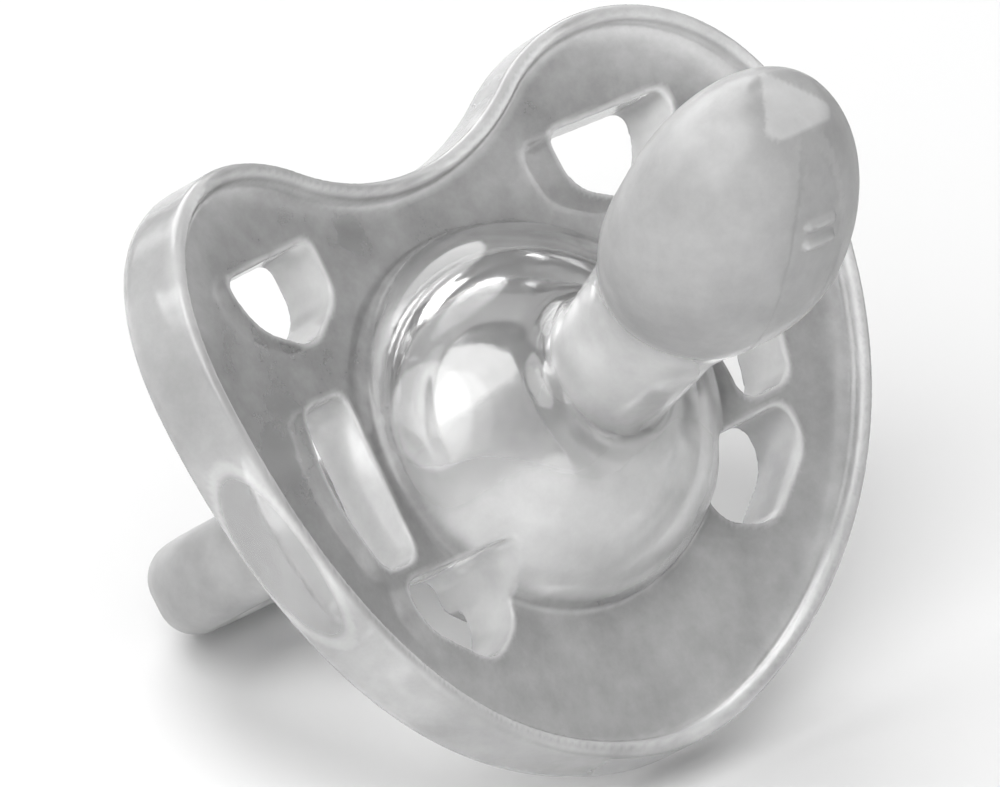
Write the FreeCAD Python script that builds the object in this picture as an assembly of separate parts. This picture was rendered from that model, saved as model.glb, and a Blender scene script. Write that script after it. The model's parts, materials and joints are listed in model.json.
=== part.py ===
"""One-piece soft silicone pacifier, in millimetres.

The object is first built in its own shield frame: X to the right, Y up towards the nose
notch, Z out of the mouth side, with the middle of the shield at the origin. It is then
tilted back and set down, so that it rests on the shield's lower rear edge and on the bar
of its handle, with +Z up and the nipple towards -Y.
"""
import FreeCAD, Part
import math
import os
from FreeCAD import Matrix, Placement, Rotation, Vector

os.makedirs("parts", exist_ok=True)

# ---- driving dimensions ----
DISH_RADIUS = 60.9          # the shield curves round the face, about an upright axis
EDGE_THICKNESS = 4.1        # front crease to rear edge
LIP_HEIGHT = 0.45           # the lip stands this far above the mouth face
LIP_WIDTH = 0.85
WALL_LEAN = 0.015           # the side walls lean out towards the rear, per mm of depth
WALL_REACH = 9.0            # the outline's walls run this far to either side of the origin

CHIN_Y = -18.3              # lowest point of the outline
CHIN_ARC = (15.7, 13.6)     # radius, turn in degrees
SIDE_ARC = (25.8, 78.0)
LOBE_ARC = (10.2, 121.7)

BASE_RADIUS = 10.8          # round base of the nipple, where it leaves the mouth face
BASE_OVAL = (1.08, 0.95)    # it is wider than it is tall
BASE_TOP_Z = 6.3            # where the base ends and the neck starts
BASE_FOOT_Z = -2.5          # the base starts inside the plate, at this height
BASE_FACE_Z = -1.2          # the base is widest here
NECK_RADIUS = 3.6
NECK_TOP_RADIUS = 4.0       # where the neck meets the bulb
NECK_BORE = 1.9
WELL_RADIUS = 5.4           # round mouth of the nipple's hollow, at the rear

BULB_TILT = 31.0            # degrees that the bulb tips up from the shield's axis
BULB_ROOT = Vector(0, 1.5, 9.2)

RIDGE_LENGTH = 2.4          # two fine ridges across the bulb's tongue side
RIDGE_WIDTH = 0.4
RIDGE_FOOT = 0.6            # height of a ridge's block, most of it inside the bulb
RIDGE_STARTS = ((-7.98, 12.85), (-8.28, 11.85))  # lowest point above the axis, distance along it

BOSS_RADIUS = 10.2          # flat pad round the well, which carries the handle
BOSS_FACE_Z = -5.0

HANDLE_Y = 0.5              # the loop's mid plane
HANDLE_BAR_Z = -22.2        # middle of the rear bar
HANDLE_HALF_WIDTH = 9.8     # to the middle of an arm
HANDLE_ROOT_X = 7.9         # middle of an arm's root on the boss
HANDLE_THICKNESS = 5.0
HANDLE_WIDTH = 4.8
HANDLE_CORNER = 6.0         # radius of the corners' middle line
HANDLE_ROUNDING = 1.9       # rounding of the loop's section
WEB_LENGTH = 3.6            # bending length between the boss and an arm
BAR_HALF_LENGTH = 3.6       # straight middle stretch of the rear bar

LEAN_BACK = 40.2            # degrees from upright at which it rests
CLEAR = 60.0                # longer than any part, for cutting tools

# Each vent of the right half by its corners, which are rounded to VENT_ROUNDING.
UPPER_VENT = [(8.9, 12.9), (16.4, 12.5), (15.6, 9.6), (12.2, 7.8), (9.0, 9.7)]
SIDE_VENT = [(11.9, 5.1), (15.4, 5.1), (16.5, 1.0), (15.2, -3.9), (12.4, -3.9)]
LOWER_VENT = [(7.4, -4.9), (14.3, -4.7), (14.3, -7.2), (10.6, -10.2), (7.8, -8.9)]
VENT_ROUNDING = 1.0

# The base's outer and inner profiles, as (radius, height).
BASE_OUTSIDE = [(BASE_RADIUS + 0.3, BASE_FOOT_Z), (BASE_RADIUS, BASE_FACE_Z), (9.9, 1.2),
                (8.6, 3.0), (6.6, 4.5), (4.7, 5.5), (NECK_RADIUS, BASE_TOP_Z)]
BASE_INSIDE = [(WELL_RADIUS, BASE_FOOT_Z), (WELL_RADIUS + 0.6, BASE_FACE_Z), (7.3, 0.4),
               (6.8, 1.9), (5.0, 3.2), (3.0, 4.3), (NECK_BORE, BASE_TOP_Z)]

# The bulb's outer and inner sections across its axis: half width, half height, how far the
# middle lies above the axis, and the distance along it.
BULB_OUTSIDE = [(NECK_TOP_RADIUS, NECK_TOP_RADIUS, 0, 0), (4.5, 4.5, -0.9, 3), (5.4, 5.1, -1.8, 5),
                (6.5, 5.5, -2.5, 7), (7.0, 5.5, -2.9, 9), (6.7, 5.1, -3.1, 11.5),
                (5.5, 4.2, -3.0, 14.5), (4.3, 3.4, -2.9, 16.0), (1.7, 1.7, -2.8, 17.5)]
BULB_INSIDE = [(NECK_BORE, NECK_BORE, 0, -1), (2.0, 1.9, -0.6, 3), (2.8, 2.4, -1.6, 5),
               (4.6, 3.3, -2.8, 7), (5.3, 3.7, -3.1, 9), (5.1, 3.5, -3.1, 11),
               (4.2, 2.9, -3.0, 13), (1.6, 1.5, -2.8, 15.6)]


# ---- outlines ----
def rounded_polygon(corners, radius, z=0.0):
    """Closed wire round the corners, each one rounded to the same radius."""
    points = [Vector(x, y, z) for x, y in corners]
    ends = []
    for i, corner in enumerate(points):
        to_last = (points[i - 1] - corner).normalize()
        to_next = (points[(i + 1) % len(points)] - corner).normalize()
        half_angle = to_last.getAngle(to_next) / 2
        reach = radius / math.tan(half_angle)
        middle = (to_last + to_next).normalize()
        arc_middle = corner + middle * (radius / math.sin(half_angle) - radius)
        ends.append((corner + to_last * reach, arc_middle, corner + to_next * reach))
    edges = []
    for i, (first, middle, last) in enumerate(ends):
        edges.append(Part.Arc(first, middle, last).toShape())
        edges.append(Part.LineSegment(last, ends[(i + 1) % len(ends)][0]).toShape())
    return Part.Wire(edges)


def arc_from(start, heading, radius, turn):
    """Middle and end of an arc that leaves start along heading; a negative turn is to the right."""
    side = math.copysign(1.0, turn)
    centre_x = start[0] - side * radius * math.sin(heading)
    centre_y = start[1] + side * radius * math.cos(heading)

    def at(angle):
        return (centre_x + side * radius * math.sin(angle),
                centre_y - side * radius * math.cos(angle))

    return at(heading + turn / 2), at(heading + turn)


def shield_outline(inset=0.0):
    """Right half of the outline, from the chin up to the notch, as arcs (start, middle, end)."""
    arcs = []
    point = (0.0, CHIN_Y + inset)
    heading = 0.0
    for radius, turn in (CHIN_ARC, SIDE_ARC, LOBE_ARC):
        turn = math.radians(turn)
        middle, end = arc_from(point, heading, radius - inset, turn)
        arcs.append((point, middle, end))
        point, heading = end, heading + turn
    notch_turn = heading - math.pi
    notch_radius = point[0] / math.sin(notch_turn)
    middle, end = arc_from(point, heading, notch_radius, -notch_turn)
    arcs.append((point, middle, (0.0, end[1])))
    return arcs


def outline_wire(z, inset=0.0):
    """The whole outline in the plane at height z, widened by the lean of the walls."""
    right = shield_outline(inset)
    left = [tuple((-x, y) for x, y in reversed(arc)) for arc in reversed(right)]
    edges = [Part.Arc(*[Vector(x, y, 0) for x, y in arc]).toShape() for arc in right + left]
    wire = Part.Wire(edges)
    widen = Matrix()
    widen.scale(1 - WALL_LEAN * z, 1, 1)
    wire = wire.transformGeometry(widen)
    wire.translate(Vector(0, 0, z))
    return wire


def outline_block(inset=0.0):
    """A block with the outline's walls, tall enough to cut the dished shield from."""
    walls = [outline_wire(z, inset) for z in (-WALL_REACH, WALL_REACH)]
    return Part.makeLoft(walls, True, True)


# ---- shield ----
def dish(depth):
    """Everything on the mouth side of the dished surface that lies depth behind the crease."""
    axis_start = Vector(0, -CLEAR, DISH_RADIUS)
    return Part.makeCylinder(DISH_RADIUS + depth, 2 * CLEAR, axis_start, Vector(0, 1, 0))


def vent_tool(corners):
    """A straight cutter for one vent and its mirror image."""
    face = Part.Face(rounded_polygon(corners, VENT_ROUNDING, -CLEAR / 2))
    right = face.extrude(Vector(0, 0, CLEAR))
    left = right.mirror(Vector(0, 0, 0), Vector(1, 0, 0))
    return right.fuse(left)


def vent_tools():
    upper, side, lower = [vent_tool(corners) for corners in (UPPER_VENT, SIDE_VENT, LOWER_VENT)]
    return upper.fuse([side, lower])


def well_tool():
    return Part.makeCylinder(WELL_RADIUS, CLEAR, Vector(0, 0, -CLEAR / 2), Vector(0, 0, 1))


def shield_plate(vents):
    body = outline_block().common(dish(EDGE_THICKNESS)).cut(dish(LIP_HEIGHT))
    return body.cut(vents).cut(well_tool())


def shield_rim():
    ring = outline_block().cut(outline_block(LIP_WIDTH))
    return ring.common(dish(LIP_HEIGHT)).cut(dish(0))


def rear_boss():
    pad = Part.makeCylinder(BOSS_RADIUS, -BOSS_FACE_Z, Vector(0, 0, BOSS_FACE_Z), Vector(0, 0, 1))
    return pad.cut(dish(EDGE_THICKNESS)).cut(well_tool())


# ---- nipple ----
def revolve_profile(points):
    """A solid of revolution about Z from (radius, z) points joined by a smooth line."""
    curve = Part.BSplineCurve()
    curve.interpolate([Vector(r, 0, z) for r, z in points])
    first = Vector(points[0][0], 0, points[0][1])
    last = Vector(points[-1][0], 0, points[-1][1])
    foot = Vector(0, 0, first.z)
    top = Vector(0, 0, last.z)
    edges = [curve.toShape(), Part.LineSegment(last, top).toShape(),
             Part.LineSegment(top, foot).toShape(), Part.LineSegment(foot, first).toShape()]
    return Part.Face(Part.Wire(edges)).revolve(Vector(0, 0, 0), Vector(0, 0, 1), 360)


def nipple_base(vents):
    """The hollow dome between the mouth face and the neck, cut by the lower vents."""
    oval = Matrix()
    oval.scale(BASE_OVAL[0], BASE_OVAL[1], 1)
    outer = revolve_profile(BASE_OUTSIDE).transformGeometry(oval)
    wall = outer.cut(revolve_profile(BASE_INSIDE))
    return wall.common(dish(LIP_HEIGHT)).cut(vents)


def bulb_placement():
    return Placement(BULB_ROOT, Rotation(Vector(1, 0, 0), -BULB_TILT))


def ellipse_wire(half_width, half_height, y, z):
    """An ellipse wider in X than in Y, or a circle, as one closed wire."""
    middle = Vector(0, y, z)
    if half_width == half_height:
        return Part.Wire(Part.makeCircle(half_width, middle))
    return Part.Wire(Part.Ellipse(middle, half_width, half_height).toShape())


def loft(sections):
    return Part.makeLoft([ellipse_wire(*section) for section in sections], True, False)


def nipple_neck():
    """The short bending tube between the base and the bulb, cut flat at both ends."""
    placement = bulb_placement()

    def tube(low_radius, high_radius):
        low = Part.Wire(Part.makeCircle(low_radius, Vector(0, 0, BASE_TOP_Z)))
        high = Part.Wire(Part.makeCircle(high_radius, Vector(0, 0, 0)))
        high.Placement = placement
        return Part.makeLoft([low, high], True, True)

    return tube(NECK_RADIUS, NECK_TOP_RADIUS).cut(tube(NECK_BORE, NECK_BORE))


def nipple_bulb():
    """The hollow, flattened bulb, which tips up towards the palate."""
    bulb = loft(BULB_OUTSIDE).cut(loft(BULB_INSIDE))
    bulb.Placement = bulb_placement()
    return bulb


def tongue_ridges():
    """Two fine ridges across the tongue side of the bulb."""
    ridges = [Part.makeBox(RIDGE_LENGTH, RIDGE_FOOT, RIDGE_WIDTH, Vector(-RIDGE_LENGTH / 2, low, along))
              for low, along in RIDGE_STARTS]
    pair = Part.makeCompound(ridges)
    pair.Placement = bulb_placement()
    return pair.cut(nipple_bulb())


# ---- handle ----
def section_at(x, z, heading):
    """The loop's section at a point of its middle line; heading turns it from -Z towards +X."""
    half_w = HANDLE_WIDTH / 2
    half_t = HANDLE_THICKNESS / 2
    corners = [(-half_w, -half_t), (half_w, -half_t), (half_w, half_t), (-half_w, half_t)]
    wire = rounded_polygon(corners, HANDLE_ROUNDING)
    wire.Placement = Placement(Vector(x, HANDLE_Y, z), Rotation(Vector(0, 1, 0), 180 - heading))
    return wire


def handle_web(side):
    """The bending root of one arm, between the boss and the arm."""
    ends = [section_at(side * HANDLE_ROOT_X, z, 0) for z in (BOSS_FACE_Z, BOSS_FACE_Z - WEB_LENGTH)]
    return Part.makeLoft(ends, True, True)


def handle_arm(side):
    """One arm: a straight taper outwards, then the round corner into the rear bar."""
    corner_x = HANDLE_HALF_WIDTH - HANDLE_CORNER
    corner_z = HANDLE_BAR_Z + HANDLE_CORNER
    sections = [section_at(side * HANDLE_ROOT_X, BOSS_FACE_Z - WEB_LENGTH, 0)]
    for degrees in (0, 22.5, 45, 67.5, 90):
        x = corner_x + HANDLE_CORNER * math.cos(math.radians(degrees))
        z = corner_z - HANDLE_CORNER * math.sin(math.radians(degrees))
        sections.append(section_at(side * x, z, -side * degrees))
    sections.append(section_at(side * BAR_HALF_LENGTH, HANDLE_BAR_Z, -side * 90))
    return Part.makeLoft(sections, True, False)


def handle_bar():
    ends = [section_at(x, HANDLE_BAR_Z, -90) for x in (-BAR_HALF_LENGTH, BAR_HALF_LENGTH)]
    return Part.makeLoft(ends, True, True)


# ---- assembly ----
def all_nodes():
    vents = vent_tools()
    nodes = {
        "shield_plate": shield_plate(vents),
        "shield_rim": shield_rim(),
        "rear_boss": rear_boss(),
        "nipple_base": nipple_base(vents),
        "nipple_neck": nipple_neck(),
        "nipple_bulb": nipple_bulb(),
        "tongue_ridges": tongue_ridges(),
        "handle_bar": handle_bar(),
    }
    for side, name in ((-1, "left"), (1, "right")):
        nodes["handle_web_" + name] = handle_web(side)
        nodes["handle_arm_" + name] = handle_arm(side)
    return nodes


def set_down(nodes):
    """Tilt every node back and put the whole object's lowest point on the floor."""
    tilt = Placement(Vector(0, 0, 0), Rotation(Vector(1, 0, 0), 90 - LEAN_BACK))
    for shape in nodes.values():
        shape.Placement = tilt.multiply(shape.Placement)
    box = Part.makeCompound(list(nodes.values())).optimalBoundingBox()
    move = Vector(-(box.XMin + box.XMax) / 2, -(box.YMin + box.YMax) / 2, -box.ZMin)
    for shape in nodes.values():
        shape.translate(move)
    return tilt, move


nodes = all_nodes()
tilt, move = set_down(nodes)
for name, shape in nodes.items():
    shape.exportStep("parts/" + name + ".step")
    print(name, "valid", shape.isValid(), "solids", len(shape.Solids), "volume", round(shape.Volume, 1))
print("shield frame origin in the row frame", move)
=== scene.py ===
import json
import math

import bpy
import numpy as np
from mathutils import Matrix, Vector


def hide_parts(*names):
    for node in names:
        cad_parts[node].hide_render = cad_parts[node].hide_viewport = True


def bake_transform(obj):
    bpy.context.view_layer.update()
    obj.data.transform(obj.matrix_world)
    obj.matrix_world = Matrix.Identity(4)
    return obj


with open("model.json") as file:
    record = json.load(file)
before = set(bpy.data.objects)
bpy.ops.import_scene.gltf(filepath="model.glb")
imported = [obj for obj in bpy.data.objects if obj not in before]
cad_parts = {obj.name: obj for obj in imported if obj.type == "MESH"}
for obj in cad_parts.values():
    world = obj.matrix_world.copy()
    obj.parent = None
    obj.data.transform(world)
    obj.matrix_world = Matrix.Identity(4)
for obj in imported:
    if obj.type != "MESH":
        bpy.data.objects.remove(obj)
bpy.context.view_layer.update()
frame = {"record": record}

# The soft moulding is described in the shield's own frame, in millimetres: X to the right,
# Y up to the nose notch, Z out of the mouth side. The record's clip_loop mount places it.
MM = 0.001
LOOP_Y, LOOP_Z = 0.5, -14.0     # where clip_loop's point lies in the shield frame

DISH_RADIUS = 60.9
EDGE_THICKNESS = 4.1
LIP_HEIGHT = 0.45
LIP_WIDTH = 0.85
WALL_LEAN = 0.015           # share of its width by which the side wall draws in per millimetre up
CHIN_Y = -18.3
OUTLINE_ARCS = ((15.7, 13.6), (25.8, 78.0), (10.2, 121.7))   # radius, turn in degrees

BASE_CENTRE = (0, 0, -1.2)
BASE_RADII = (11.7, 10.3, 6.9)
HOLLOW_RADII = (8.3, 7.4, 4.7)
WELL_RADIUS = 5.4
BOSS_RADIUS = 10.2
BOSS_FACE_Z = -5.0
BOSS_HALF_THICKNESS = 1.5
BASE_FOOT_DEPTH, HOLLOW_FOOT_DEPTH = 2.6, 2.0     # how deep they reach behind the front face
NECK_START = (0, -0.4, 3.5)
NECK_END = (0, 2.75, 15.0)
NECK_RADII = (3.3, 4.1)     # at its start and at its end
NECK_BORE = 1.8
BULB_CENTRE = (0, 3.8, 18.15)
BULB_TILT = 31.0
BULB_HALF_WIDTH = 7.0
BULB_ABOVE, BULB_BELOW = 4.85, 5.8
BULB_AHEAD, BULB_BEHIND = 9.25, 5.8
BULB_WALL = 1.6
TIP_FLAT_TILT = 17.0        # how far the flat at the tip faces up
TIP_FLAT_DEPTH = 0.45
PANEL_MIDDLE = 1.5          # the tongue panel's middle along the bulb, from its centre
PANEL_HALF_LENGTH, PANEL_HALF_WIDTH = 7.0, 2.1
PANEL_DEPTH = 0.12
PANEL_FADE = 4              # how fast the panel and the ridges end at their edges
RIDGE_STATIONS = (4.2, 3.2)
RIDGE_HALF_LENGTH = 1.2
RIDGE_RADIUS = 0.34
RIDGE_HEIGHT = 0.4

VENTS = (((8.9, 12.9), (16.4, 12.5), (15.6, 9.6), (12.2, 7.8), (9.0, 9.7)),
         ((11.9, 5.1), (15.4, 5.1), (16.5, 1.0), (15.2, -3.9), (12.4, -3.9)),
         ((7.4, -4.9), (14.3, -4.7), (14.3, -7.2), (10.6, -10.2), (7.8, -8.9)))
VENT_ROUNDING = 1.1
VENT_TOP_Z = 8              # the vents are cut up to here, so that they miss the nipple

# Widths over which surfaces run into each other.
REAR_EDGE_BLEND, FRONT_EDGE_BLEND = 1.2, 0.4
LIP_FOOT_BLEND, LIP_TOP_BLEND = 0.4, 0.3
BOSS_EDGE_BLEND, BOSS_FOOT_BLEND = 0.5, 0.6
NECK_FOOT_BLEND, NECK_TOP_BLEND = 2.0, 3.2
BASE_BLEND = 0.35
TIP_FLAT_BLEND = 0.15
WELL_BLEND, BORE_BLEND, BULB_HOLLOW_BLEND = 0.8, 1.2, 1.0
HOLLOW_EDGE_BLEND = 0.5
VENT_EDGE_BLEND = 0.2

HANDLE_Y = 0.5
HANDLE_BAR_Z = -22.2
HANDLE_ARM_X = 9.8
HANDLE_ROOT_X = 7.9
HANDLE_CORNER = 6.0
HANDLE_HALF_WIDTH = 2.4
HANDLE_HALF_THICKNESS = 2.5
HANDLE_ROUNDING = 2.0
ARM_OVERLAP = 0.5           # how far the arms reach into the round corners
WEB_SINK = 0.02             # how far the webs reach into the boss

CELL = 0.22
RELAX_ROUNDS = 2
FIRST_SETTLE_ROUNDS, SETTLE_ROUNDS = 3, 2
LEAST_SLOPE_SQUARED = 0.05  # keeps a point from leaping where the field is flat
REACH = 0.01                # step for measuring a field's slope
FAR = 99.0                  # farther than any surface
WELL_INSIDE = -9.0          # deeper inside the outline than any wall
ARC_OVERLAP = 0.002         # in radians, so that no gap is left between two arcs
TINY = 1e-9                 # keeps a division from being by zero

# The camera: its distance in the shield's millimetres, its lens in millimetres on a sensor
# of the usual width, and the share of the picture's width by which it is shifted.
CAMERA_DISTANCE = 510.0
CAMERA_SENSOR = 36
CAMERA_LENS = 363.56472
CAMERA_SHIFT_X, CAMERA_SHIFT_Y = -0.0415, 0.02056
CAMERA_CLIP_START = 0.01
CAMERA_TOWARD = (-0.6716, -0.0315, 0.7403)
CAMERA_RIGHT = (0.6703, -0.4515, 0.5889)


# ---- placing ----
def shield_matrix():
    """The shield frame, in millimetres, as a matrix into the row frame, in metres."""
    loop = next(m for m in frame["record"]["mounts"] if m["name"] == "clip_loop")
    up = Vector(loop["axis"]).normalized()
    right = Vector((1, 0, 0))
    out = right.cross(up).normalized()
    origin = Vector(loop["pos_m"]) - up * LOOP_Y * MM - out * LOOP_Z * MM
    turn = Matrix((right, up, out)).transposed().to_4x4()
    return Matrix.Translation(origin) @ turn @ Matrix.Scale(MM, 4)


SHIELD = shield_matrix()


def place(point):
    """A point of the shield frame in the row frame."""
    return SHIELD @ Vector(point)


# ---- shaping by distance fields ----
def smooth_min(a, b, width):
    """The smaller of a and b, with the corner between them rounded over the width."""
    share = np.clip(0.5 + 0.5 * (b - a) / width, 0, 1)
    return b + (a - b) * share - width * share * (1 - share)


def smooth_max(a, b, width):
    """The larger of a and b, with the corner between them rounded over the width."""
    return -smooth_min(-a, -b, width)


def outline_arcs():
    """The right half of the outline as arcs: centre, radius, side, middle direction, half turn."""
    arcs = []
    x, y, heading = 0.0, CHIN_Y, 0.0
    for radius, turn in OUTLINE_ARCS:
        turn = math.radians(turn)
        cx, cy = x - radius * math.sin(heading), y + radius * math.cos(heading)
        middle = heading + turn / 2 - math.pi / 2
        arcs.append((cx, cy, radius, 1.0, middle, turn / 2))
        heading += turn
        x, y = cx + radius * math.sin(heading), cy - radius * math.cos(heading)
    notch = heading - math.pi
    radius = x / math.sin(notch)
    middle = notch / 2 - math.pi / 2
    arcs.append((0.0, y + radius * math.cos(notch), radius, -1.0, middle, notch / 2))
    return arcs


ARCS = outline_arcs()


def outline_distance(x, y):
    """Signed distance to the butterfly outline, below zero inside."""
    x = np.abs(x)
    best = np.full(x.shape, WELL_INSIDE)
    nearest = np.full(x.shape, np.inf)
    for cx, cy, radius, side, middle, half in ARCS:
        dx, dy = x - cx, y - cy
        reach = np.hypot(dx, dy)
        ahead = dx * math.cos(middle) + dy * math.sin(middle)
        in_sector = ahead >= reach * math.cos(half + ARC_OVERLAP)
        distance = side * (reach - radius)
        chosen = in_sector & (np.abs(distance) < nearest)
        best = np.where(chosen, distance, best)
        nearest = np.where(chosen, np.abs(distance), nearest)
    return best


def convex_hole(x, y, corners):
    """Distance to a convex hole with rounded corners, below zero inside it."""
    field = None
    for i, (ax, ay) in enumerate(corners):
        bx, by = corners[(i + 1) % len(corners)]
        length = math.hypot(bx - ax, by - ay)
        side = ((x - ax) * (by - ay) - (y - ay) * (bx - ax)) / length * -1.0
        field = side if field is None else smooth_max(field, side, VENT_ROUNDING)
    return field


def vents_field(x, y):
    """Distance to the nearest of the six vents, which mirror each other."""
    vents = np.full(x.shape, FAR)
    for corners in VENTS:
        vents = np.minimum(vents, convex_hole(np.abs(x), y, corners))
    return vents


def ellipsoid(x, y, z, radii):
    """Roughly the distance to an ellipsoid round the origin."""
    a, b, c = radii
    size = np.sqrt((x / a) ** 2 + (y / b) ** 2 + (z / c) ** 2) + TINY
    slope = np.sqrt((x / a ** 2) ** 2 + (y / b ** 2) ** 2 + (z / c ** 2) ** 2) + TINY
    return size * (size - 1) / slope


def rod(x, y, z, start, end, radii):
    """Distance to a round rod with domed ends, whose radius runs evenly from end to end."""
    run = np.array(end, float) - np.array(start, float)
    px, py, pz = x - start[0], y - start[1], z - start[2]
    t = np.clip((px * run[0] + py * run[1] + pz * run[2]) / (run @ run), 0, 1)
    reach = np.sqrt((px - t * run[0]) ** 2 + (py - t * run[1]) ** 2 + (pz - t * run[2]) ** 2)
    return reach - radii[0] - t * (radii[1] - radii[0])


def bulb_frame(x, y, z):
    """Coordinates across, above and along the tilted bulb, from its centre."""
    tilt = math.radians(BULB_TILT)
    dy, dz = y - BULB_CENTRE[1], z - BULB_CENTRE[2]
    above = dy * math.cos(tilt) - dz * math.sin(tilt)
    along = dy * math.sin(tilt) + dz * math.cos(tilt)
    return x, above, along


def tip_flat_field(y, z):
    """Distance outward from the flat of the tip."""
    tilt = math.radians(BULB_TILT - TIP_FLAT_TILT)
    reach = math.hypot(BULB_ABOVE * math.sin(tilt), BULB_AHEAD * math.cos(tilt)) - TIP_FLAT_DEPTH
    facing = math.radians(TIP_FLAT_TILT)
    return (y - BULB_CENTRE[1]) * math.sin(facing) + (z - BULB_CENTRE[2]) * math.cos(facing) - reach


def ridge_profile(across, above, along):
    """1 along the tops of the two tongue ridges, falling to 0 beside them."""
    ridge = sum(np.clip(1 - np.abs(along - station) / RIDGE_RADIUS, 0, 1)
                for station in RIDGE_STATIONS)
    ends = np.clip((RIDGE_HALF_LENGTH - np.abs(across)) * PANEL_FADE, 0, 1)
    return ridge * ends * (above < 0)


def bulb_field(x, y, z):
    """Distance to the bulb, with the tip's flat, the sunken tongue panel and its ridges."""
    across, above, along = bulb_frame(x, y, z)
    height = np.where(above > 0, BULB_ABOVE, BULB_BELOW)
    length = np.where(along > 0, BULB_AHEAD, BULB_BEHIND)
    field = ellipsoid(across, above, along, (BULB_HALF_WIDTH, height, length))
    field = smooth_max(field, tip_flat_field(y, z), TIP_FLAT_BLEND)
    inside = 1 - (across / PANEL_HALF_WIDTH) ** 2 - ((along - PANEL_MIDDLE) / PANEL_HALF_LENGTH) ** 2
    panel = np.clip(inside * PANEL_FADE, 0, 1) * (above < 0)
    return field + PANEL_DEPTH * panel - RIDGE_HEIGHT * ridge_profile(across, above, along)


def dish_depth(x, z):
    """How far behind the dished front face a point lies."""
    return np.hypot(x, z - DISH_RADIUS) - DISH_RADIUS


def edge_distance(x, y, z):
    """Distance outside the shield's leaning side wall."""
    return outline_distance(x / (1 - WALL_LEAN * z), y)


def plate_field(x, y, z):
    """Distance to the shield: dished plate, raised lip round its front face, and rear boss."""
    depth, edge = dish_depth(x, z), edge_distance(x, y, z)
    solid = smooth_max(edge, depth - EDGE_THICKNESS, REAR_EDGE_BLEND)
    solid = smooth_max(solid, -depth, FRONT_EDGE_BLEND)
    pocket = smooth_max(edge + LIP_WIDTH, depth - LIP_HEIGHT, LIP_FOOT_BLEND)
    solid = smooth_max(solid, -pocket, LIP_TOP_BLEND)
    thick = np.abs(z - BOSS_FACE_Z - BOSS_HALF_THICKNESS) - BOSS_HALF_THICKNESS
    boss = smooth_max(np.hypot(x, y) - BOSS_RADIUS, thick, BOSS_EDGE_BLEND)
    return smooth_min(solid, boss, BOSS_FOOT_BLEND)


def from_base(x, y, z):
    """Coordinates from the middle of the base's dome."""
    return x - BASE_CENTRE[0], y - BASE_CENTRE[1], z - BASE_CENTRE[2]


def nipple_field(x, y, z):
    """Distance to the nipple's outside: dome, neck and bulb."""
    neck = rod(x, y, z, NECK_START, NECK_END, NECK_RADII)
    dome = smooth_min(ellipsoid(*from_base(x, y, z), BASE_RADII), neck, NECK_FOOT_BLEND)
    nipple = smooth_min(dome, bulb_field(x, y, z), NECK_TOP_BLEND)
    return np.maximum(nipple, dish_depth(x, z) - BASE_FOOT_DEPTH)


def hollow_field(x, y, z):
    """Distance to the space inside the nipple, which is open at the rear."""
    dome = ellipsoid(*from_base(x, y, z), HOLLOW_RADII)
    hollow = np.maximum(dome, dish_depth(x, z) - HOLLOW_FOOT_DEPTH)
    well = np.maximum(np.hypot(x, y) - WELL_RADIUS, z)
    hollow = smooth_min(hollow, well, WELL_BLEND)
    bore = rod(x, y, z, (0, 0, 0), NECK_END, (NECK_BORE, NECK_BORE))
    hollow = smooth_min(hollow, bore, BORE_BLEND)
    return smooth_min(hollow, bulb_field(x, y, z) + BULB_WALL, BULB_HOLLOW_BLEND)


def moulding_field(x, y, z):
    """Shield, base, neck and bulb in one piece, with vents, well and hollow cut out."""
    solid = smooth_min(plate_field(x, y, z), nipple_field(x, y, z), BASE_BLEND)
    solid = smooth_max(solid, -hollow_field(x, y, z), HOLLOW_EDGE_BLEND)
    vents = np.maximum(vents_field(x, y), z - VENT_TOP_Z)
    return smooth_max(solid, -vents, VENT_EDGE_BLEND)


def handle_field(x, y, z):
    """The loop: tapering arms, round corners and rear bar, with a rounded section."""
    x = np.abs(x)
    corner_x = HANDLE_ARM_X - HANDLE_CORNER
    corner_z = HANDLE_BAR_Z + HANDLE_CORNER
    ax, az = HANDLE_ARM_X - HANDLE_ROOT_X, corner_z - BOSS_FACE_Z
    t = np.clip(((x - HANDLE_ROOT_X) * ax + (z - BOSS_FACE_Z) * az) / (ax * ax + az * az), 0, 1)
    arm = np.hypot(x - HANDLE_ROOT_X - t * ax, z - BOSS_FACE_Z - t * az)
    turn = np.abs(np.hypot(x - corner_x, z - corner_z) - HANDLE_CORNER)
    turn = np.where((x >= corner_x) & (z <= corner_z), turn, FAR)
    bar = np.where(x < corner_x, np.abs(z - HANDLE_BAR_Z), FAR)
    arm = np.where(z > corner_z - ARM_OVERLAP, arm, FAR)
    across = np.minimum(arm, np.minimum(turn, bar)) - HANDLE_HALF_WIDTH + HANDLE_ROUNDING
    thick = np.abs(y - HANDLE_Y) - HANDLE_HALF_THICKNESS + HANDLE_ROUNDING
    outer = np.hypot(np.maximum(across, 0), np.maximum(thick, 0))
    inner = np.minimum(np.maximum(across, thick), 0)
    return np.maximum(outer + inner - HANDLE_ROUNDING, z - BOSS_FACE_Z - WEB_SINK)


# ---- from a field to a mesh ----
# The eight corners of a cell, as steps from its lowest one.
CORNERS = [(i, j, k) for i in (0, 1) for j in (0, 1) for k in (0, 1)]


def cell_numbers(inside):
    """The cells that the surface passes through, and a grid that holds each one's number."""
    shape = tuple(length - 1 for length in inside.shape)
    count = np.zeros(shape, np.int8)
    for corner in CORNERS:
        count += inside[tuple(slice(corner[i], corner[i] + shape[i]) for i in range(3))]
    cells = np.argwhere((count > 0) & (count < len(CORNERS)))
    number = np.full(shape, -1)
    number[tuple(cells.T)] = np.arange(len(cells))
    return cells, number


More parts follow.
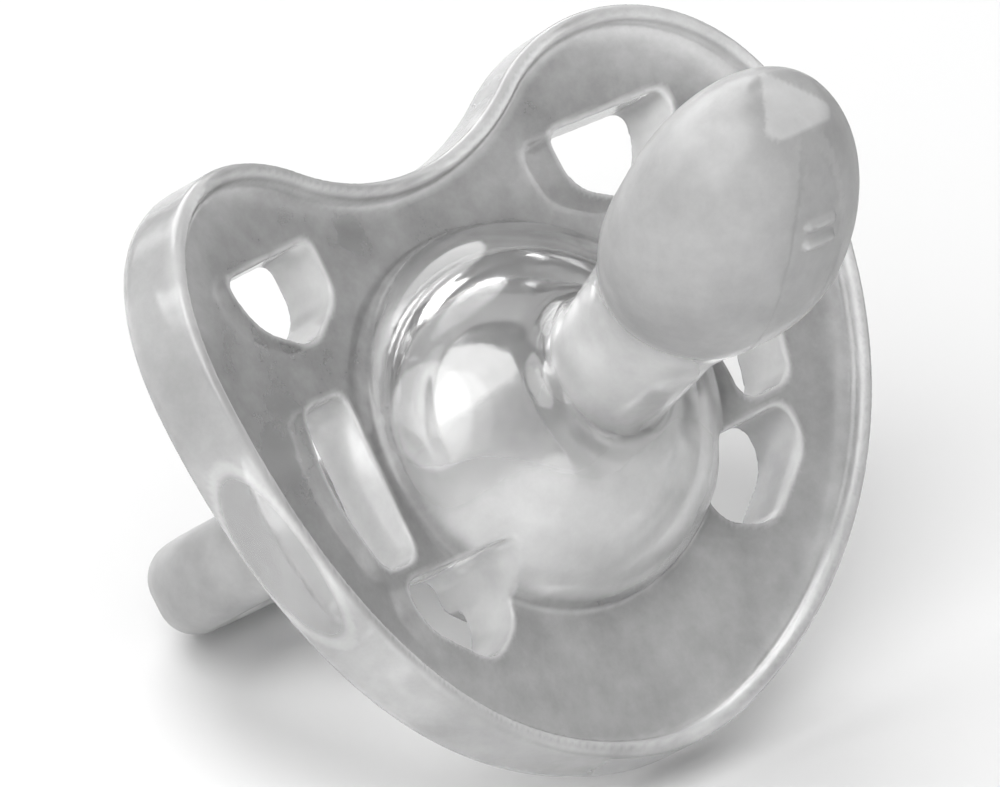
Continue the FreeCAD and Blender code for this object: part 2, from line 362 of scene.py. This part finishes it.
def crossing_points(value, cells):
    """For each cell, the mean of the points where the surface crosses its edges, in cells."""
    total = np.zeros((len(cells), 3))
    crossings = np.zeros(len(cells))
    for corner in CORNERS:
        for axis in range(3):
            if corner[axis]:
                continue
            step = np.arange(3) == axis
            at_start = value[tuple((cells + corner).T)]
            at_end = value[tuple((cells + corner + step).T)]
            crossed = (at_start < 0) != (at_end < 0)
            share = np.where(crossed, at_start / np.where(crossed, at_start - at_end, 1), 0)
            total += np.where(crossed[:, None], cells + corner + share[:, None] * step, 0)
            crossings += crossed
    return total / crossings[:, None]


def quads_between(inside, number):
    """A quad for each grid edge that the surface crosses, joining the four cells round it."""
    quads = []
    for axis in range(3):
        u, v = (axis + 1) % 3, (axis + 2) % 3
        edges = np.argwhere(np.diff(inside.astype(np.int8), axis=axis) != 0)
        edges = edges[(edges[:, u] > 0) & (edges[:, v] > 0)]
        edges = edges[(edges[:, u] < number.shape[u]) & (edges[:, v] < number.shape[v])]
        step_u, step_v = np.eye(3, dtype=int)[[u, v]]
        steps = (step_u + step_v, step_v, np.zeros(3, int), step_u)
        ring = np.stack([number[tuple((edges - step).T)] for step in steps], axis=1)
        leaving = inside[tuple(edges.T)]
        quads.append(np.where(leaving[:, None], ring, ring[:, ::-1]))
    return np.concatenate(quads)


def surface_of(field, low, high):
    """Quads on the field's zero surface, evened out, with the field's slope at each point."""
    axes = [np.arange(low[i], high[i] + CELL, CELL) for i in range(3)]
    value = field(*np.meshgrid(*axes, indexing="ij"))
    inside = value < 0
    cells, number = cell_numbers(inside)
    faces = quads_between(inside, number)
    points = crossing_points(value, cells) * CELL + np.array([axis[0] for axis in axes])
    points = settle(points, field, FIRST_SETTLE_ROUNDS)
    for _ in range(RELAX_ROUNDS):
        points = settle(relax(points, faces), field, SETTLE_ROUNDS)
    return points, faces, slope_of(field, points)


def slope_of(field, points):
    """The field's slope along X, Y and Z at each point."""
    return np.stack([(field(*(points + step).T) - field(*(points - step).T)) / (2 * REACH)
                     for step in np.eye(3) * REACH], axis=1)


def settle(points, field, rounds):
    """Move each point along the slope onto the field's zero surface, half a cell at most."""
    for _ in range(rounds):
        slope = slope_of(field, points)
        size = np.maximum((slope ** 2).sum(1), LEAST_SLOPE_SQUARED)
        move = -(field(*points.T) / size)[:, None] * slope
        length = np.linalg.norm(move, axis=1, keepdims=True)
        points = points + move * np.minimum(1, 0.5 * CELL / np.maximum(length, TINY))
    return points


def relax(points, faces):
    """Draw each point halfway to the middle of its neighbours, which evens out the quads."""
    total = np.zeros_like(points)
    count = np.zeros(len(points))
    for here in range(4):
        for beside in ((here + 1) % 4, (here + 3) % 4):
            near = points[faces[:, beside]]
            for axis in range(3):
                total[:, axis] += np.bincount(faces[:, here], near[:, axis], len(points))
            count += np.bincount(faces[:, here], minlength=len(points))
    return 0.5 * points + 0.5 * total / count[:, None]


def make_piece(name, points, faces, normals, looks):
    """A smooth mesh from the shield frame, with each look as an attribute for its material."""
    matrix = np.array(SHIELD)
    points = points @ matrix[:3, :3].T + matrix[:3, 3]
    normals = normals @ matrix[:3, :3].T
    normals /= np.maximum(np.linalg.norm(normals, axis=1, keepdims=True), TINY)
    mesh = bpy.data.meshes.new(name)
    mesh.from_pydata(points.tolist(), [], faces.tolist())
    mesh.shade_smooth()
    mesh.normals_split_custom_set_from_vertices(normals.tolist())
    for look, values in looks.items():
        mesh.attributes.new(look, "FLOAT", "POINT").data.foreach_set("value", values)
    piece = bpy.data.objects.new(name, mesh)
    bpy.context.scene.collection.objects.link(piece)
    return piece


# ---- looks ----
# Three looks run from 0 to 1 over the surface. The milky look is how white the silicone is, and it
# also carries painted light: a lighter lower face and lower side wall, a painted highlight line in
# the crease inside the lip, a painted highlight on the tip's flat and a painted bright ring round
# the wall's oval. Clear is how see-through and frost how matt. A name that ends in FADE holds
# where a look starts and where it is full: in millimetres, or for the oval and its ring in shares
# of the oval's size, squared.
FACE_MILKY = 0.02
# Painted light: the front face is drawn lighter toward the chin.
LOWER_FACE_PAINTED_LIGHT, LOWER_FACE_LIGHT_FADE = 0.4, (-6.0, 17.0)
LIP_MILKY, LIP_FADE = 0.5, (-1.6, -1.0)
WALL_MILKY, WALL_FADE = 0.6, (-0.7, -0.3)
# Painted light: the side wall is drawn lighter on its lower part.
LOWER_WALL_PAINTED_LIGHT, LOWER_WALL_LIGHT_FADE = 0.15, (5.0, 14.0)
# Painted highlight: a bright line in the crease inside the lip.
CREASE_HIGHLIGHT_INNER_FADE, CREASE_HIGHLIGHT_OUTER_FADE = (-1.1, -0.7), (0.2, 0.6)
BASE_FADE, BASE_FRONT_FADE, HOLLOW_FADE = (1.2, 0.5), (-0.2, 1.2), (1.0, 0.4)
BASE_MILKY, BASE_FLANK_MILKY = 0.85, 0.15
HOLLOW_MILKY, HOLLOW_FLANK_MILKY = 0.75, 0.2
FLANK_FADE = (-3.2, 2.2)            # the dome's flank is clouded, below a wavy line
FLANK_WAVE_HEIGHT, FLANK_WAVE_RATE, FLANK_CLIMB = 0.9, 0.7, 0.6
FLANK_CLOUDING = 0.75
BULB_MILKY, BULB_FADE = 0.5, (1.4, 0.2)
NECK_FOOT_FADE, NECK_FOOT_SLOPE = (5.0, 8.0), 0.3
NECK_TOP_FADE, NECK_TOP_SLOPE = (-17.0, -12.0), 0.4
# Painted highlight on the tip's flat, within a triangle.
TIP_FADE, TIP_SIDE_FADE, TIP_FOOT_FADE = (-0.35, -0.1), (-0.2, 0.2), (5.6, 6.0)
TIP_SIDE_REACH, TIP_SIDE_SLOPE = 7.7, 0.8
VENT_WALL_FADE = (-0.4, 0.0)
OVAL_Y, OVAL_DEPTH = -1.0, 2.0
OVAL_HALF_LENGTH, OVAL_HALF_HEIGHT = 4.7, 1.7
OVAL_CLEAR, OVAL_FADE = 0.6, (1.2, 0.7)
# The ring round the oval is a painted highlight: a bright outline.
RING_PAINTED_HIGHLIGHT, RING_AT, RING_FADE = 0.85, 1.2, (0.4, 0.1)
HANDLE_MILKY, HANDLE_CLEAR, HANDLE_FROST = 0.48, 0.0, 0.7


def fade(value, start, end):
    """0 before start, 1 after end, smooth between."""
    t = np.clip((value - start) / (end - start), 0, 1)
    return t * t * (3 - 2 * t)


def shield_milky_and_painted_light(x, y, z):
    """Lighter toward the chin, which is painted light; whiter along the lip; a painted highlight
    line in the crease inside it; whiter on the side wall, with painted light on its lower part.
    """
    edge = edge_distance(x, y, z)
    # The front face's own whiteness plus painted light that lightens it toward the chin.
    face_and_painted_light = FACE_MILKY + LOWER_FACE_PAINTED_LIGHT * fade(-y, *LOWER_FACE_LIGHT_FADE)
    lip = fade(edge, *LIP_FADE) * LIP_MILKY
    # The side wall's whiteness plus painted light on its lower part.
    wall_and_painted_light = fade(edge, *WALL_FADE) * (WALL_MILKY + LOWER_WALL_PAINTED_LIGHT * fade(-y, *LOWER_WALL_LIGHT_FADE))
    # Painted highlight line in the crease inside the lip.
    crease_highlight = fade(edge, *CREASE_HIGHLIGHT_INNER_FADE) * fade(-edge, *CREASE_HIGHLIGHT_OUTER_FADE)
    return np.maximum.reduce([face_and_painted_light, lip, wall_and_painted_light, crease_highlight])


def wall_oval(x, y, z):
    """The oval on each side wall: how far it is a window, and how far the ring round it, which is
    drawn as a painted bright outline.
    """
    on_wall = fade(edge_distance(x, y, z), *WALL_FADE)
    along = (y - OVAL_Y) / OVAL_HALF_LENGTH
    across = (dish_depth(x, z) - OVAL_DEPTH) / OVAL_HALF_HEIGHT
    oval = along ** 2 + across ** 2
    return on_wall * fade(oval, *OVAL_FADE), on_wall * fade(np.abs(oval - RING_AT), *RING_FADE)


def base_looks(x, y, z):
    """Milky and clear on the dome, outside and inside: clouded on its lower flank."""
    on_base = fade(ellipsoid(*from_base(x, y, z), BASE_RADII), *BASE_FADE)
    on_base = on_base * fade(-dish_depth(x, z), *BASE_FRONT_FADE)
    inside = fade(ellipsoid(*from_base(x, y, z), HOLLOW_RADII), *HOLLOW_FADE)
    wave = FLANK_WAVE_HEIGHT * np.sin(FLANK_WAVE_RATE * x)
    flank = fade(-y + wave - FLANK_CLIMB * z, *FLANK_FADE)
    milky_and_painted_light = np.maximum(on_base * (BASE_MILKY + BASE_FLANK_MILKY * flank),
                       inside * (HOLLOW_MILKY + HOLLOW_FLANK_MILKY * flank))
    return milky_and_painted_light, np.maximum(on_base, inside) * (1 - FLANK_CLOUDING * flank)


def neck_milky(y, z):
    """1 on the neck, between two sloping planes."""
    above_foot = fade(z + NECK_FOOT_SLOPE * y, *NECK_FOOT_FADE)
    return above_foot * fade(-z - NECK_TOP_SLOPE * y, *NECK_TOP_FADE)


def tip_painted_highlight(x, y, z):
    """1 on the tip's flat, within a triangle: a painted highlight."""
    sides = fade(TIP_SIDE_REACH - TIP_SIDE_SLOPE * y - np.abs(x), *TIP_SIDE_FADE)
    return fade(tip_flat_field(y, z), *TIP_FADE) * sides * fade(y, *TIP_FOOT_FADE)


def moulding_looks(x, y, z):
    """The three looks at each point of the moulding."""
    bulb = fade(bulb_field(x, y, z), *BULB_FADE)
    ridges = ridge_profile(*bulb_frame(x, y, z)) * bulb
    base, base_clear = base_looks(x, y, z)
    # ring is a painted bright outline round the wall's oval.
    window, ring = wall_oval(x, y, z)
    vent_wall = fade(-vents_field(x, y), *VENT_WALL_FADE)
    # The silicone's whiteness together with painted light and painted highlights.
    milky_and_painted_light = np.maximum.reduce([shield_milky_and_painted_light(x, y, z), base, bulb * BULB_MILKY, neck_milky(y, z),
                               ridges, tip_painted_highlight(x, y, z), vent_wall, ring * RING_PAINTED_HIGHLIGHT])
    clear = np.maximum(base_clear * (1 - bulb), window * OVAL_CLEAR)
    return {"milky_and_painted_light": milky_and_painted_light, "clear": np.clip(clear, 0, 1), "frost": bulb}


def handle_looks(x):
    """The same three looks all over the handle."""
    return {"milky_and_painted_light": np.full(x.shape, HANDLE_MILKY), "clear": np.full(x.shape, HANDLE_CLEAR),
            "frost": np.full(x.shape, HANDLE_FROST)}


# ---- material ----
SILICONE_IOR = 1.41
COAT_WEIGHT, COAT_ROUGHNESS = 0.12, 0.15
# The milky look also holds painted light, so this range lightens the painted light and painted
# highlights too.
GREY_RANGE = (0.37, 0.97)               # base colour from not milky to milky
CLEAR_RANGE = (0.6, 0.93)               # transmission from not clear to clear
GLOSS_RANGE = (0.2, 0.1)                # roughness from not clear to clear
FROST_RANGE = (0.0, 0.5)                # roughness from not frosted to frosted
MOTTLE = {"Scale": 260.0, "Detail": 8.0, "Roughness": 0.65}
MOTTLE_RANGE = (-0.5, 0.5)
GRAIN = {"Scale": 2500.0}
GRAIN_DEPTH = 0.0001                    # in metres
MOULDING_GRAIN, HANDLE_GRAIN = 0.05, 0.1


def ramp(nodes, links, value, low, high):
    """A node whose result runs from low to high as the value runs from 0 to 1."""
    node = nodes.new("ShaderNodeMapRange")
    node.clamp = False
    node.inputs["To Min"].default_value = low
    node.inputs["To Max"].default_value = high
    links.new(value, node.inputs["Value"])
    return node.outputs["Result"]


def combine(nodes, links, operation, first, second):
    """A node that adds two values or takes the larger one."""
    node = nodes.new("ShaderNodeMath")
    node.operation = operation
    links.new(first, node.inputs[0])
    links.new(second, node.inputs[1])
    return node.outputs[0]


def noise(nodes, links, place_at, settings):
    """Noise in space, which keeps its place on the object in every view."""
    node = nodes.new("ShaderNodeTexNoise")
    for name, value in settings.items():
        node.inputs[name].default_value = value
    links.new(place_at, node.inputs["Vector"])
    return node.outputs["Fac"]


def silicone(name, grain):
    """Silicone whose colour, transmission and roughness follow the looks at each point."""
    material = bpy.data.materials.new(name)
    material.use_nodes = True
    nodes, links = material.node_tree.nodes, material.node_tree.links
    shader = nodes["Principled BSDF"]
    shader.inputs["IOR"].default_value = SILICONE_IOR
    shader.inputs["Coat Weight"].default_value = COAT_WEIGHT
    shader.inputs["Coat Roughness"].default_value = COAT_ROUGHNESS
    look = {}
    for key in ("milky_and_painted_light", "clear", "frost"):
        node = nodes.new("ShaderNodeAttribute")
        node.attribute_name = key
        look[key] = node.outputs["Fac"]
    place_at = nodes.new("ShaderNodeTexCoord").outputs["Object"]
    mottle = ramp(nodes, links, noise(nodes, links, place_at, MOTTLE), *MOTTLE_RANGE)
    # The base colour follows the milky look, which holds painted light and painted highlights
    # besides the silicone's whiteness.
    grey = combine(nodes, links, "ADD", look["milky_and_painted_light"], mottle)
    links.new(ramp(nodes, links, grey, *GREY_RANGE), shader.inputs["Base Color"])
    links.new(ramp(nodes, links, look["clear"], *CLEAR_RANGE), shader.inputs["Transmission Weight"])
    gloss = ramp(nodes, links, look["clear"], *GLOSS_RANGE)
    frost = ramp(nodes, links, look["frost"], *FROST_RANGE)
    links.new(combine(nodes, links, "MAXIMUM", gloss, frost), shader.inputs["Roughness"])
    height = nodes.new("ShaderNodeBump")
    height.inputs["Strength"].default_value = grain
    height.inputs["Distance"].default_value = GRAIN_DEPTH
    links.new(noise(nodes, links, place_at, GRAIN), height.inputs["Height"])
    links.new(height.outputs["Normal"], shader.inputs["Normal"])
    return material


# ---- pieces ----
# The corners of a box round each piece, in the shield frame.
MOULDING_LOW, MOULDING_HIGH = (-24.2, -19.4, -5.8), (24.2, 19.4, 30.6)
HANDLE_LOW, HANDLE_HIGH = (-13.4, -3.4, -26.8), (13.4, 4.4, -4.2)


def build_moulding():
    """Shield, dome, neck and bulb as one surface."""
    points, faces, normals = surface_of(moulding_field, MOULDING_LOW, MOULDING_HIGH)
    looks = moulding_looks(*points.T)
    piece = make_piece("silicone_moulding", points, faces, normals, looks)
    piece.data.materials.append(silicone("clear_silicone", MOULDING_GRAIN))
    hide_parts("shield_plate", "shield_rim", "rear_boss", "nipple_base", "nipple_neck",
                "nipple_bulb", "tongue_ridges")
    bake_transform(piece)


def build_handle():
    """The loop as one surface."""
    points, faces, normals = surface_of(handle_field, HANDLE_LOW, HANDLE_HIGH)
    looks = handle_looks(points[:, 0])
    piece = make_piece("silicone_handle", points, faces, normals, looks)
    piece.data.materials.append(silicone("handle_silicone", HANDLE_GRAIN))
    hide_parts("handle_web_left", "handle_web_right", "handle_arm_left", "handle_arm_right",
                "handle_bar")
    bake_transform(piece)


# ---- studio, in metres ----
FLOOR_SIZE = 3
FLOOR_GREY = 0.7
FLOOR_ROUGHNESS = 0.7
LIGHTS_AIM_AT = (0, 0, 0.02)
KEY_LIGHT = {"place_at": (-1.0, -0.45, 1.3), "size": 1.8, "power": 42.0}
BACK_LIGHT = {"place_at": (0.45, 1.3, 1.0), "size": 1.6, "power": 30.0}
SKY_CLIMB = (0.05, 0.75)            # from the horizon at 0 to overhead at 1
SKY_STRENGTH = (0.78, 1.25)


def build_stage():
    """The plain pale floor."""
    bpy.ops.mesh.primitive_plane_add(size=FLOOR_SIZE, location=(0, 0, 0))
    floor = bpy.context.object
    floor.name = "floor"
    material = bpy.data.materials.new("pale_floor")
    material.use_nodes = True
    shader = material.node_tree.nodes["Principled BSDF"]
    shader.inputs["Base Color"].default_value = (FLOOR_GREY, FLOOR_GREY, FLOOR_GREY, 1)
    shader.inputs["Roughness"].default_value = FLOOR_ROUGHNESS
    floor.data.materials.append(material)


def disk_light(name, place_at, size, power):
    """A round lamp aimed at the object."""
    light = bpy.data.lights.new(name, "AREA")
    light.shape = "DISK"
    light.size = size
    light.energy = power
    lamp = bpy.data.objects.new(name, light)
    lamp.location = place_at
    toward_object = Vector(LIGHTS_AIM_AT) - lamp.location
    lamp.rotation_euler = toward_object.to_track_quat("-Z", "Y").to_euler()
    bpy.context.scene.collection.objects.link(lamp)


def build_world():
    """A studio that is bright overhead and darker toward the horizon."""
    world = bpy.data.worlds.new("studio")
    world.use_nodes = True
    nodes, links = world.node_tree.nodes, world.node_tree.links
    direction = nodes.new("ShaderNodeTexCoord")
    split = nodes.new("ShaderNodeSeparateXYZ")
    links.new(direction.outputs["Generated"], split.inputs["Vector"])
    climb = nodes.new("ShaderNodeMapRange")
    climb.interpolation_type = "SMOOTHSTEP"
    climb.inputs["From Min"].default_value, climb.inputs["From Max"].default_value = SKY_CLIMB
    climb.inputs["To Min"].default_value, climb.inputs["To Max"].default_value = SKY_STRENGTH
    links.new(split.outputs["Z"], climb.inputs["Value"])
    links.new(climb.outputs["Result"], nodes["Background"].inputs["Strength"])
    bpy.context.scene.world = world


def build_camera():
    """The photo's viewpoint, from its direction and its right hand side in the shield frame."""
    turn = SHIELD.to_3x3().normalized()
    z_axis = (turn @ Vector(CAMERA_TOWARD)).normalized()
    x_axis = (turn @ Vector(CAMERA_RIGHT)).normalized()
    y_axis = z_axis.cross(x_axis).normalized()
    optics = bpy.data.cameras.new("camera")
    optics.sensor_width = CAMERA_SENSOR
    optics.lens = CAMERA_LENS
    optics.shift_x, optics.shift_y = CAMERA_SHIFT_X, CAMERA_SHIFT_Y
    optics.clip_start = CAMERA_CLIP_START
    camera = bpy.data.objects.new("camera", optics)
    middle = place((0, 0, 0))
    away = Matrix.Translation(middle + z_axis * CAMERA_DISTANCE * MM)
    camera.matrix_world = away @ Matrix((x_axis, y_axis, z_axis)).transposed().to_4x4()
    bpy.context.scene.collection.objects.link(camera)
    bpy.context.scene.camera = camera


# ---- scene ----
build_camera()
build_stage()
build_world()
disk_light("key", **KEY_LIGHT)
disk_light("back", **BACK_LIGHT)
build_moulding()
build_handle()

bpy.context.scene.view_settings.view_transform = "Standard"
